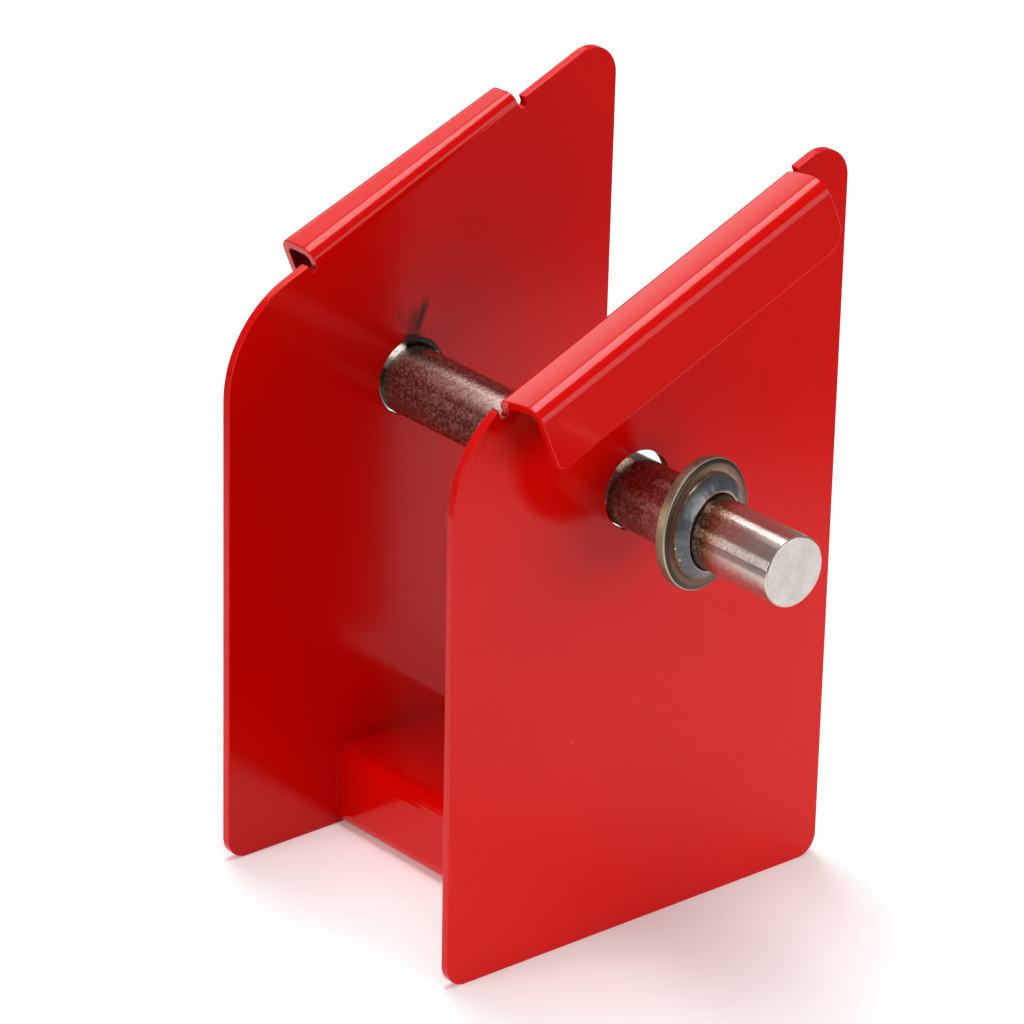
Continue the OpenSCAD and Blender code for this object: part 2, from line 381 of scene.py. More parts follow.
# %% Fold the skin
def folded_sheet(side):
    front, back, width, pulled_in, pulled_down, inner_r, inner_rise = HEMS[side]
    start, end = front, edge_length - back
    hand = 1 if side == "right" else -1
    columns = [float(along) for along in np.linspace(end, start, COLUMNS + 1)]
    outline, back_edge_ends, fold_begins = plate_outline(start, end, columns, inner_rise - inner_r)
    hole = arc(Vector((0, hole_z / MM)), hole_r / MM, 0, math.tau, HOLE_PARTS)[:-1]
    mesh = bmesh.new()

    def point(out, flat):
        return mesh.verts.new((hand * (inner_face + out * MM), flat.x * MM, flat.y * MM))

    # Two faces share the plate, below and above a line through the hole
    edge, hole = [[point(0, flat) for flat in line] for line in (outline, hole)]
    half = HOLE_PARTS // 2
    mesh.faces.new([edge[-1]] + edge[:back_edge_ends + 1] + [hole[0]] + hole[:half - 1:-1])
    mesh.faces.new(edge[back_edge_ends:] + hole[half::-1])

    def on_hem(out, off, along, share):
        pulled = share * (along - start) / (end - start)
        return point(out - pulled * pulled_in, on_slope(along, off - pulled * pulled_down))

    last = edge[fold_begins:fold_begins + COLUMNS + 1]
    for out, off, share in hem_rows(width, inner_r, inner_rise)[1:]:
        row = [on_hem(out, off, along, share) for along in columns]
        for i in range(COLUMNS):
            mesh.faces.new((last[i], last[i + 1], row[i + 1], row[i]))
        last = row
    low = HEM_RISE - HEM_DROP
    foot = arc(Vector((start + LEG_FRONT_R, low + LEG_FRONT_R)), LEG_FRONT_R, math.pi, 1.5 * math.pi, 12)
    foot += arc(Vector((end - LEG_BACK_R, low + LEG_BACK_R)), LEG_BACK_R, 1.5 * math.pi, math.tau, 16)
    mesh.faces.new(last + [on_hem(width, flat.y, flat.x, 1.0) for flat in foot])
    bmesh.ops.recalc_face_normals(mesh, faces=mesh.faces)
    mesh.faces.ensure_lookup_table()
    plate = max(mesh.faces, key=lambda face: face.calc_area())
    if plate.normal.x * hand > 0:
        bmesh.ops.reverse_faces(mesh, faces=mesh.faces)
    for face in mesh.faces:
        face.smooth = True
    piece = new_piece(side + "_cheek_painted", [], [])
    mesh.to_mesh(piece.data)
    mesh.free()
    return piece


# %% Thicken the cheeks, round their edges and coat them
EDGE_ROUND, SHARPEST_BEND = 0.45 * MM, math.radians(40)
OFF_PLATE, OFF_CUT, HOLLOW_DEPTH = 0.6, 0.2, 5.0


def looks_into_fold(face, side):
    """Whether a face looks into the hollow between the plate and the hem's outer leg."""
    front, back, width = HEMS[side][:3]
    out = (abs(face.center.x) - inner_face) / MM
    from_nose = face.center.yz / MM - nose
    off = from_nose.dot(off_slope)
    off_plate = out > SHEET + OFF_PLATE
    off_cuts = front + OFF_CUT < from_nose.dot(up_slope) < edge_length - back - OFF_CUT
    to_hollow = Vector(((width + SHEET) / 2 - out, -HOLLOW_DEPTH - off))
    normal = Vector((face.normal.x * math.copysign(1, face.center.x), face.normal.yz.dot(off_slope)))
    return off_plate and off_cuts and to_hollow.dot(normal) > 0


for side in HEMS:
    cheek = folded_sheet(side)
    wall = cheek.modifiers.new("wall", "SOLIDIFY")
    wall.thickness, wall.offset, wall.use_even_offset = SHEET * MM, -1.0, True
    rounds = cheek.modifiers.new("edges", "BEVEL")
    rounds.width, rounds.segments = EDGE_ROUND, 3
    rounds.limit_method, rounds.angle_limit = "ANGLE", SHARPEST_BEND
    rounds.use_clamp_overlap, rounds.loop_slide = False, False
    cheek.modifiers.new("flats", "WEIGHTED_NORMAL").weight = 80
    plain_mesh(cheek)
    for coat in (painted_sheet, fold_shade_coat):
        cheek.data.materials.append(coat)
    for face in cheek.data.polygons:
        face.material_index = int(looks_into_fold(face, side))
    print("faces inside the fold:", sum(face.material_index for face in cheek.data.polygons))
    corners = np.array([v.co for v in cheek.data.vertices])
    low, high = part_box(side + "_cheek")
    print(side, "cheek, mm off the CAD part's box:", np.round((corners.min(0) - low) / MM, 2),
          np.round((corners.max(0) - high) / MM, 2))
    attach(cheek, "frame")
    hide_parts(side + "_cheek")

# %% [markdown]
# ## The foot tube
# The tube is a plain cut length of rectangular section with its ends hidden against
# the cheeks. Its CAD shape is already right, so it stays and only gets the paint.

# %% Paint the foot tube
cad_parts["foot_tube"].data.materials.clear()
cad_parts["foot_tube"].data.materials.append(painted_sheet)
print("foot tube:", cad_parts["foot_tube"].data.materials[0].name)

# %% [markdown]
# ## A weld bead as a rule
# A weld is laid in small overlapping steps, so its surface is a cross-section carried
# along a path, with a ripple at each step. That is a rule, and Geometry Nodes are the
# right tool: the modifier's own mesh is the drawn cross-section, and the tree carries
# it along a ring or a straight line, pushes every point in or out by the ripple, and
# lets noise move the toes of the bead, as a hand does. A ring can also hug a bar that
# doesn't run through its middle. Each point of the section has a number called across,
# 0 where it is buried or at the toe and 1 at the other side, which fades the ripples
# out at the toes, says how closely to hug, and later guides the weld's colours: its
# heat colours, a painted highlight and a painted shade.
#
# Two helpers serve every rule. One makes a tree with named inputs. The other gives it
# to a piece as a modifier, sets the inputs by each socket's identifier, because two
# inputs may share a name, and keeps the mesh that it makes.

# %% Helpers for rules
def new_rule(name, inputs, result):
    """A Geometry Nodes tree, the function that adds its nodes, and what its inputs give."""
    tree = bpy.data.node_groups.new(name, "GeometryNodeTree")
    for label, kind in inputs.items():
        tree.interface.new_socket(label, in_out="INPUT", socket_type="NodeSocket" + kind)
    tree.interface.new_socket(result, in_out="OUTPUT", socket_type="NodeSocketGeometry")
    add = adder(tree)
    return tree, add, add("NodeGroupInput").outputs


def follow_rule(piece, tree, values):
    rule = piece.modifiers.new(tree.name, "NODES")
    rule.node_group = tree
    sockets = {s.name: s.identifier for s in tree.interface.items_tree if s.in_out == "INPUT"}
    for label, value in values.items():
        rule[sockets[label]] = value
    plain_mesh(piece)


# %% How a bead ripples
def rippled(add, given, along, across):
    """A wave along the path, bowed back in the middle of the bead and faded out at its toes."""
    steps = add("Math", (along, given["Steps"]), operation="MULTIPLY")
    middle = add("Math", (across, 1.0, -0.5), operation="MULTIPLY_ADD")
    bow = add("Math", (middle, middle), operation="MULTIPLY")
    bow = add("Math", (bow, given["Ripple bow"], steps), operation="MULTIPLY_ADD")
    wave = add("Math", (bow, math.tau), operation="MULTIPLY")
    wave = add("Math", (wave,), operation="SINE")
    rest = add("Math", (1.0, across), operation="SUBTRACT")
    fade = add("Math", (across, rest), operation="MULTIPLY")
    fade = add("MapRange", (fade, 0.0, 0.16))
    for share in (fade, given["Ripple height"]):
        wave = add("Math", (wave, share), operation="MULTIPLY")
    return add("VectorMath", (add("GeometryNodeInputNormal"), wave), operation="SCALE")


# %% How a bead wanders
def wandering(add, given, across, position):
    """Noise that moves the bead towards or away from its corner, most at the toe."""
    noise = add("TexNoise", {"Vector": position, "W": given["Seed"], "Scale": 1 / (7 * MM), "Detail": 2.0},
                noise_dimensions="4D")
    sway = add("MapRange", (noise, 0.25, 0.75, -1.0, 1.0))
    for share in (given["Wander"], add("MapRange", (across, 0.0, 1.0, 1.0, 0.25))):
        sway = add("Math", (sway, share), operation="MULTIPLY")
    outward = add("VectorMath", (position, (1.0, 1.0, 0.0)), operation="MULTIPLY")
    outward = add("VectorMath", (outward,), operation="NORMALIZE")
    return add("VectorMath", (outward, sway), operation="SCALE")


# %% How a bead hugs the bar
def hugging(add, given, across, position):
    """After the bead is in place, a move of its inner side to the bar's own surface."""
    off_bar = add("GeometryNodeInputNamedAttribute", {"Name": "off_bar"})
    from_axis = add("VectorMath", (position, given["Bar axis"]), operation="SUBTRACT")
    square = add("VectorMath", (from_axis, (0.0, 1.0, 1.0)), operation="MULTIPLY")
    outward = add("VectorMath", (square,), operation="NORMALIZE")
    apart = add("Math", (off_bar, given["Bar radius"]), operation="ADD")
    hugged = add("VectorMath", (outward, apart), operation="SCALE")
    move = add("VectorMath", (hugged, square), operation="SUBTRACT")
    share = add("MapRange", (across, 0.3, 0.75))
    share = add("Math", (share, given["Hug bar"]), operation="MULTIPLY")
    return add("VectorMath", (move, share), operation="SCALE")


# %% The rule that lays a bead
def bead_tree():
    tree, add, given = new_rule("laid_bead", {
        "Section": "Geometry", "Ring": "Bool", "Ring radius": "Float", "Length": "Float", "Steps": "Int",
        "Ripple height": "Float", "Ripple bow": "Float", "Wander": "Float", "End taper": "Float",
        "Seed": "Float", "Place": "Vector", "Turn": "Rotation", "Hug bar": "Float", "Bar radius": "Float",
        "Bar axis": "Vector", "Finish": "Material"}, "Bead")
    points = add("Math", (given["Steps"], 10.0), operation="MULTIPLY")
    ring = add("GeometryNodeCurvePrimitiveCircle", {"Resolution": points, "Radius": given["Ring radius"]})
    far = add("CombineXYZ", {"Z": given["Length"]})
    line = add("GeometryNodeCurvePrimitiveLine", {"End": far})
    line = add("GeometryNodeResampleCurve", {"Curve": line, "Count": points})
    path = add("GeometryNodeSwitch", (given["Ring"], line, ring))
    run = add("GeometryNodeSplineParameter")
    path = add("GeometryNodeStoreNamedAttribute", {"Geometry": path, "Name": "run", "Value": run})

    # The bead is swept along the path and thins out towards the ends of a line
    along = add("GeometryNodeInputNamedAttribute", {"Name": "run"})
    across = add("GeometryNodeInputNamedAttribute", {"Name": "across"})
    position = add("GeometryNodeInputPosition")
    end = add("Math", (along, 2.0, -1.0), operation="MULTIPLY_ADD")
    end = add("Math", (end, 8.0), operation="POWER")
    size = add("Math", (end, given["End taper"]), operation="MULTIPLY")
    size = add("Math", (1.0, size), operation="SUBTRACT")
    section = add("GeometryNodeMeshToCurve", {"Mesh": given["Section"]})
    bead = add("GeometryNodeCurveToMesh", {"Curve": path, "Profile Curve": section, "Scale": size,
                                           "Fill Caps": True})
    ripple, wander = rippled(add, given, along, across), wandering(add, given, across, position)
    offset = add("VectorMath", (ripple, wander), operation="ADD")
    bead = add("GeometryNodeSetPosition", {"Geometry": bead, "Offset": offset})

    # Before it is put in place, each point notes how far it is from the bar
    flat = add("VectorMath", (position, (1.0, 1.0, 0.0)), operation="MULTIPLY")
    reach = add("VectorMath", (flat,), operation="LENGTH")
    off_bar = add("Math", (reach, given["Ring radius"]), operation="SUBTRACT")
    bead = add("GeometryNodeStoreNamedAttribute", {"Geometry": bead, "Name": "off_bar", "Value": off_bar})
    bead = add("GeometryNodeTransform", {"Geometry": bead, "Translation": given["Place"],
                                         "Rotation": given["Turn"]})
    move = hugging(add, given, across, position)
    bead = add("GeometryNodeSetPosition", {"Geometry": bead, "Offset": move})
    bead = add("GeometryNodeSetShadeSmooth", {"Geometry": bead})
    bead = add("GeometryNodeRealizeInstances", {"Geometry": bead})
    bead = add("GeometryNodeSetMaterial", {"Geometry": bead, "Material": given["Finish"]})
    add("NodeGroupOutput", {"Bead": bead})
    return tree


laid_bead = bead_tree()
print("laid_bead:", len(laid_bead.nodes), "nodes")


# %% [markdown]
# The section is a closed line of points, so the swept bead is a closed shell. Its
# faces are turned outwards at the end, since a sweep may come out inverted.

# %% Lay a bead from its cross-section
def lay(name, section, values):
    """section is a list of (sideways, height, across) in metres, in order round the bead."""
    count = len(section)
    around = [(i, (i + 1) % count) for i in range(count)]
    piece = new_piece(name, [(x, y, 0) for x, y, _ in section], [], around)
    across = piece.data.attributes.new("across", "FLOAT", "POINT")
    across.data.foreach_set("value", [row[2] for row in section])
    follow_rule(piece, laid_bead, values)
    face_outwards(piece)
    return piece


# %% [markdown]
# ## The tube's welds
# A short bead closes the corner behind the tube at each end. It was laid before the
# clamp was painted, so it wears the same red skin, with its ripples softened by it.
# Its cross-section is a slightly full quarter round, sunk a little into both walls.

# %% Lay the painted beads behind the tube
SUNK = 0.3 * MM


def corner_section(leg, fullness, parts=12):
    rows = [(-SUNK, leg * 0.98, 0.0), (-SUNK, -SUNK, 0.0), (leg * 0.98, -SUNK, 0.0)]
    for i in range(parts + 1):
        turn = math.pi / 2 * i / parts
        share = i / parts
        x = leg * ((1 - fullness) * (1 - share) + fullness * math.cos(turn))
        y = leg * ((1 - fullness) * share + fullness * math.sin(turn))
        rows.append((x, y, share))
    return rows


for side, turn, seed in (("right", math.pi / 2, 3.0), ("left", 0.0, 8.0)):
    node = side + "_tube_weld"
    low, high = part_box(node)
    corner_x = high.x if side == "right" else low.x
    leg = high.y - low.y
    bead = lay(node + "_bead", corner_section(leg * 0.96, 0.8), {
        "Ring": False, "Length": high.z - low.z, "Steps": 11, "Ripple height": 0.22 * MM, "Ripple bow": 1.2,
        "Wander": 0.25 * MM, "End taper": 0.35, "Seed": seed, "Place": (corner_x, low.y, low.z),
        "Turn": (0.0, 0.0, turn), "Hug bar": 0.0, "Finish": painted_weld})
    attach(bead, "frame")
    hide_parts(node)


# %% [markdown]
# ## Where the washer stands
# The collar washer was welded on by hand and leans. Its place isn't typed in again:
# the washer's own points say it. Their middle is the washer's centre, and the
# direction in which they spread least is its axis. The three directions found make a
# rotation, which places the washer, its weld, and the colour rings on both.

# %% Measure the washer and its weld
washer_points, weld_points = points_of("collar_washer"), points_of("collar_weld")
spread = np.linalg.svd(washer_points - washer_points.mean(0), full_matrices=False)[2]
axis = Vector(spread[2] * math.copysign(1, spread[2][0])).normalized()
level = Vector((0, 0, 1)).cross(axis).normalized()
turn = Matrix((level, axis.cross(level), axis)).transposed()
collar_turn = turn.to_euler()


def along_collar(points):
    """The lowest and highest of points, as measured along the washer's own directions."""
    local = points @ np.array(turn)
    return local.min(0), local.max(0)


low, high = along_collar(washer_points)
centre = turn @ Vector((low + high) / 2)
washer_r, washer_half = float(high[0] - low[0]) / 2, float(high[2] - low[2]) / 2
bore_r = min((turn.transposed() @ (Vector(p) - centre)).xy.length for p in washer_points)
collar_place = Matrix.Translation(centre) @ turn.to_4x4()
low, high = along_collar(weld_points)
bead_r, bead_top = float(high[0] - low[0]) / 2, float(high[2] - low[2])
weld_place = turn @ Vector(((low[0] + high[0]) / 2, (low[1] + high[1]) / 2, low[2]))
print(f"washer {2 * washer_r / MM:.1f} mm wide, {2 * washer_half / MM:.1f} mm thick, leaning "
      f"{math.degrees(axis.angle(Vector((1, 0, 0)))):.1f} degrees; weld to {bead_r / MM:.1f} mm, "
      f"{bead_top / MM:.1f} mm high")


# %% [markdown]
# ## Nickel plate on a drawn bar
# The bar is cold drawn steel, cut to length and nickel plated. Bright nickel is a
# warm grey metal. The thin plate follows the drawn skin below it, so up close it is a
# field of fine crystals, each with its own tone, and a slight swell. The crystals are
# drawn 0.65 mm wide, a little coarser than real ones, so that they show. Fine polishing
# marks run round the bar and spread every reflection along it, while faint scratches
# run lengthwise from sliding.
#
# The weld has burned a brown and straw coloured band beside the collar. The band
# follows the washer's own lean, so it reads the place measured above. From the left
# cheek to just past the right one the plating is tinted brown, a painted shade for the
# space between the cheeks, and between the two its upper side is painted pale, a
# painted highlight that brightens towards the right cheek. From the left hole outwards
# the bar is painted black, a painted shade, but for one side, which is left bright.

# %% The burned band
NICKEL, NICKEL_SHADE = "#d6cdc5", "#b4aaa1"
BURNED, BROWN_TINT, STRAW_TINT = "#8f7c6d", "#8a6247", "#b8946f"


def collar_coordinates(add, place):
    """Object coordinates turned so that the washer's axis is Z and its centre is zero."""
    return add("Mapping", {"Vector": place, "Location": tuple(centre), "Rotation": tuple(collar_turn)},
               vector_type="TEXTURE")


def burned_nickel(add, place, off_washer):
    """The colour of the plating, by how far along the bar a point is from the washer."""
    cloud = add("TexNoise", {"Vector": place, "Scale": 1 / (9 * MM), "Detail": 3.0})
    metal = add("Mix", (cloud, NICKEL_SHADE, NICKEL), data_type="RGBA")
    uneven = add("Math", (cloud, 3 * MM, -1.5 * MM), operation="MULTIPLY_ADD")
    height = add("Math", (off_washer, uneven), operation="ADD")
    share = add("MapRange", (height, -14 * MM, 22 * MM))
    band = add("ValToRGB", (share,), stops=(
        (0.0, "#ffffff"), (0.2, "#e6d8c8"), (0.3, "#9d7f68"), (0.36, BURNED), (0.6, BURNED),
        (0.64, BROWN_TINT), (0.7, "#96704f"), (0.76, STRAW_TINT), (0.84, "#e4d3bd"), (0.93, "#ffffff")))
    return add("Mix", (1.0, metal, band), data_type="RGBA", blend_type="MULTIPLY")


# %% Where the bar gets painted shade and a painted highlight
# The side left bright in the painted shade of the left hole, and the side of the painted highlight, face
# forwards by these angles from straight up
UNSHADED_SIDE, HIGHLIGHT_SIDE = [(0.0, -math.sin(math.radians(lean)), math.cos(math.radians(lean)))
                              for lean in (32, 30)]


def bar_painted_light(add, place):
    """Masks of painted shade from the left hole, brown painted shade and a painted highlight, then of the
    bar before the right cheek and past the left one.
    """
    axes = add("SeparateXYZ", (place,))
    up = add("Math", (axes.outputs["Z"], bar_z), operation="SUBTRACT")
    around = add("CombineXYZ", (0.0, axes.outputs["Y"], up))
    around = add("VectorMath", (around,), operation="NORMALIZE")

    # Painted shade from the left hole outwards, but for one side, which is left bright
    inside = add("MapRange", (axes.outputs["X"], -inner_face + 0.1 * MM, -inner_face - 0.3 * MM))
    past_left = add("Math", (1.0, inside), operation="SUBTRACT")
    side = add("VectorMath", (around, UNSHADED_SIDE), operation="DOT_PRODUCT")
    hole_shade = add("MapRange", (side, 0.95, 0.88, 0.0, 0.92))
    hole_shade = add("Math", (hole_shade, inside), operation="MULTIPLY")

    # Brown painted shade to just past the right cheek, and a painted highlight on the upper side between
    # the cheeks, brighter towards the right cheek
    brown = add("MapRange", (axes.outputs["X"], inner_face + 18 * MM, inner_face + 36 * MM, 1.0, 0.0))
    brown = add("Math", (brown, past_left), operation="MULTIPLY")
    before_right = add("MapRange", (axes.outputs["X"], inner_face - 10 * MM, inner_face, 1.0, 0.0))
    along = add("MapRange", (axes.outputs["X"], -54 * MM, -4 * MM, 0.15, 1.0))
    side = add("VectorMath", (around, HIGHLIGHT_SIDE), operation="DOT_PRODUCT")
    top_highlight = add("MapRange", (side, 0.89, 0.995))
    for mask in (along, before_right, past_left):
        top_highlight = add("Math", (top_highlight, mask), operation="MULTIPLY")
    return hole_shade, brown, top_highlight, before_right, past_left


# %% The plated side of the bar
BROWN_PAINTED_SHADE, PALE_HIGHLIGHT, DARK_PITS_AND_SHADE, PALE_GRAIN = "#a98f84", "#dccfc4", "#1c1715", "#efe3dd"
MOTTLE, CRYSTAL, SCRATCH_GAP = 0.9 * MM, 0.65 * MM, 0.5 * MM


def plated_bar():
    material, add, place, surface = new_material("bright_nickel_on_drawn_bar")
    off_washer = add("SeparateXYZ", (collar_coordinates(add, place),)).outputs["Z"]
    tinted = burned_nickel(add, place, off_washer)
    hole_shade, brown, top_highlight, before_right, past_left = bar_painted_light(add, place)
    # Between the cheeks and to just past the right one the plating is tinted brown: painted shade
    tinted = add("Mix", (brown, tinted, BROWN_PAINTED_SHADE), data_type="RGBA", blend_type="MULTIPLY")

    # Every crystal of the drawn skin has its own tone: the darkest are pits, the palest
    # are high spots that scatter light
    coarse = add("MapRange", (off_washer, 8 * MM, 30 * MM, 1.0, 0.15))
    crystals = add("TexVoronoi", {"Vector": place, "Scale": 1 / CRYSTAL})
    tone = add("SeparateColor", (crystals.outputs["Color"],))
    pit = add("MapRange", (tone, 0.35, 0.0, 0.0, 0.42))
    pit = add("Math", (pit, coarse), operation="MULTIPLY")
    grain = add("MapRange", (tone, 0.5, 1.0, 0.0, 0.26))
    handle_side = add("MapRange", (before_right, 0.0, 1.0, 0.8, 1.0))
    for mask in (coarse, handle_side, past_left):
        grain = add("Math", (grain, mask), operation="MULTIPLY")
    for mask, tint in ((top_highlight, PALE_HIGHLIGHT), (hole_shade, DARK_PITS_AND_SHADE), (pit, DARK_PITS_AND_SHADE), (grain, PALE_GRAIN)):
        tinted = add("Mix", (mask, tinted, tint), data_type="RGBA")
    # The painted highlight and the palest crystals scatter light, so they are less metallic
    matt = add("Math", (top_highlight, 0.5, grain), operation="MULTIPLY_ADD")
    metallic = add("MapRange", (matt, 0.0, 1.0, 0.93, 0.35))

    mottle = add("TexNoise", {"Vector": place, "Scale": 1 / MOTTLE, "Detail": 2.0})
    swell = add("Math", (mottle, coarse), operation="MULTIPLY")
    drawn = add("Mapping", {"Vector": place, "Scale": (0.03, 1.0, 1.0)})
    scratch = add("TexNoise", {"Vector": drawn, "Scale": 1 / SCRATCH_GAP, "Detail": 2.0})
    bump = add("Bump", {"Distance": 0.035 * MM, "Height": swell})
    bump = add("Bump", {"Distance": 0.003 * MM, "Height": scratch, "Normal": bump})
    # Fine polishing marks run round the bar, so they spread every reflection along it
    rough = add("MapRange", (mottle, 0.3, 0.7, 0.17, 0.26))
    tangent = add("Tangent", direction_type="RADIAL", axis="X")
    fill(surface, {"Base Color": tinted, "Metallic": metallic, "Roughness": rough, "Normal": bump,
                   "Anisotropic": 0.9, "Anisotropic Rotation": 0.25, "Tangent": tangent})
    return material


# %% The sawn end of the bar
def sawn_face():
    """The cut end of the bar: sawn, dressed flat and plated over, so it scatters light."""
    material, add, place, surface = new_material("nickel_on_sawn_end")
    grain = add("TexNoise", {"Vector": place, "Scale": 1 / (0.7 * MM), "Detail": 4.0})
    cloud = add("TexNoise", {"Vector": place, "Scale": 1 / (6 * MM), "Detail": 3.0})
    both = add("Math", (grain, cloud), operation="MULTIPLY")
    tone = add("ValToRGB", (both,), stops=((0.1, "#c9c0bb"), (0.45, "#e8dfdb")))
    bump = add("Bump", {"Distance": 0.02 * MM, "Height": grain})
    fill(surface, {"Base Color": tone, "Metallic": 0.55, "Roughness": 0.6, "Normal": bump})
    return material


bar_materials = [plated_bar(), sawn_face()]
print("bar:", [m.name for m in bar_materials])


# %% [markdown]
# ## Turned shapes
# The bar and the washer are round, so each is one outline turned about an axis. A
# Spin would do it, but writing the rings of points out is as short, closes both poles
# with a single point, and gives clean quads all the way round. The outline runs from
# pole to pole, or is closed on itself for a washer.

# %% A helper that turns an outline
def turned(name, outline, place, parts=128, closed=False):
    """outline is a list of (radius, distance along the axis), in metres."""
    points, rings = [], []
    for radius, height in outline:
        if radius == 0:
            rings.append([len(points)] * parts)
            points.append(place @ Vector((0, 0, height)))
            continue
        rings.append(list(range(len(points), len(points) + parts)))
        for i in range(parts):
            angle = math.tau * i / parts
            points.append(place @ Vector((radius * math.cos(angle), radius * math.sin(angle), height)))
    faces = []
    uppers = rings[1:] + rings[:1] if closed else rings[1:]
    for lower, upper in zip(rings, uppers):
        for i in range(parts):
            j = (i + 1) % parts
            corners = [lower[i], lower[j], upper[j], upper[i]]
            faces.append(list(dict.fromkeys(corners)))
    piece = new_piece(name, points, faces)
    face_outwards(piece)
    piece.data.polygons.foreach_set("use_smooth", [True] * len(piece.data.polygons))
    print(f"{name}: {len(faces)} faces")
    return piece


def eased(corners, size, parts=4):
    """An outline whose inner corners are rounded by that size."""
    line = [Vector(c) for c in corners]
    out = [tuple(line[0])]
    for before, here, after in zip(line, line[1:], line[2:]):
        to_before, to_after = (before - here).normalized(), (after - here).normalized()
        for i in range(parts + 1):
            t = i / parts
            start, end = here + to_before * size, here + to_after * size
            out.append(tuple(start * (1 - t) ** 2 + here * 2 * t * (1 - t) + end * t ** 2))
    return out + [tuple(line[-1])]


# %% [markdown]
# ## The bar
# A plain round bar with a small bevel at both ends. Its flat ends keep a matt sawn
# look, while its side is bright, so the end faces take a second material.

# %% Turn the bar
BAR_BEVEL = 0.5 * MM
bar_place = Matrix.Translation((bar_start, 0, bar_z)) @ Matrix.Rotation(math.pi / 2, 4, "Y")
bar = turned("bolt_bar_plated", eased([
    (0, 0), (bar_r - BAR_BEVEL, 0), (bar_r, BAR_BEVEL), (bar_r, bar_long - BAR_BEVEL),
    (bar_r - BAR_BEVEL, bar_long), (0, bar_long)], 0.15 * MM), bar_place)
for material in bar_materials:
    bar.data.materials.append(material)
for face in bar.data.polygons:
    flat_end = abs(face.normal.x) > 0.99
    face.material_index = int(flat_end)
    face.use_smooth = not flat_end
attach(bar, "bolt")
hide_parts("bolt_bar")
print("end faces:", sum(f.material_index for f in bar.data.polygons))


# %% [markdown]
# ## A dark fill in the left hole
# The hole is 3 mm wider than the bar, and a dark fill is put in the gap above it as
# painted shade. The fill is a short arc. At every angle its section is a ring of five
# corners, which fills the gap from under the rim to just above the bar and thins out at
# both ends. It belongs to the cheek, so it stays when the bar slides.

# %% The section of the fill
GAP_FILL_FROM, GAP_FILL_TO, GAP_FILL_PARTS = math.radians(26), math.radians(103), 40
GAP_FILL_OFF_BAR, GAP_FILL_UNDER_RIM = 0.06 * MM, 0.25 * MM


def gap_fill_ring(share):
    """The section's corners at a share of the arc, in metres."""
    angle = GAP_FILL_FROM + (GAP_FILL_TO - GAP_FILL_FROM) * share
    way = Vector((math.cos(angle), math.sin(angle)))
    # The bar lies lower than the hole's middle, so the gap is widest at the top
    low_by = hole_z - bar_z
    to_bar = math.sqrt((bar_r + GAP_FILL_OFF_BAR) ** 2 - (low_by * way.x) ** 2) - low_by * way.y
    outer = hole_r + GAP_FILL_UNDER_RIM
    thick = min(1.0, 14 * share, 5 * (1 - share)) * (outer - to_bar)
    inner = outer - thick
    # Each corner: how far from the hole's middle, and how deep in the hole, in mm
    corners = ((outer, 0.05), (outer - 0.35 * thick, -0.12), (inner, 0.5), (inner, 3.0), (outer, 3.3))
    return [(-inner_face - deep * MM, far * way.x, hole_z + far * way.y) for far, deep in corners]


# %% Material of the dark fill
LUMP = 1.2 * MM


def painted_shade_fill():
    material, add, place, surface = new_material("painted_shade_fill")
    lumps = add("TexNoise", {"Vector": place, "Scale": 1 / LUMP, "Detail": 4.0})
    tone = add("ValToRGB", (lumps,), stops=((0.35, "#0b0908"), (0.7, "#2c2622")))
    bump = add("Bump", {"Distance": 0.15 * MM, "Height": lumps})
    fill(surface, {"Base Color": tone, "Roughness": 0.5, "Normal": bump})
    return material


# %% Put the dark fill above the bar
mesh, last = bmesh.new(), None
for count in range(GAP_FILL_PARTS + 1):
    ring = [mesh.verts.new(corner) for corner in gap_fill_ring(count / GAP_FILL_PARTS)]
    if last is None:
        mesh.faces.new(ring)
    else:
        for corners in zip(last, last[1:] + last[:1], ring[1:] + ring[:1], ring):
            mesh.faces.new(corners)
    last = ring
mesh.faces.new(last[::-1])
bmesh.ops.recalc_face_normals(mesh, faces=mesh.faces)
for face in mesh.faces:
    face.smooth = len(face.verts) == 4
gap_fill = new_piece("left_hole_painted_shade", [], [])
mesh.to_mesh(gap_fill.data)
mesh.free()
gap_fill.data.materials.append(painted_shade_fill())
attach(gap_fill, "frame")
print("grease:", len(gap_fill.data.polygons), "faces")


# %% [markdown]
# ## Heat colours on the washer
# The washer is a punched disc of plain steel. Welding has heated it, and the oxide
# skin shows how hot each ring became: dark olive grey near the weld, then bronze, then
# straw at the rim. Near the rim the colours also lay a dark band on the rolled edge and
# a pale line at its front edge, which is a painted highlight. The punched rim is dull,
# with fine lines across it where the punch dragged. All of this is written against the
# radius from the washer's own axis.

# %% Washer material
RIM_LINE = 0.28 * MM


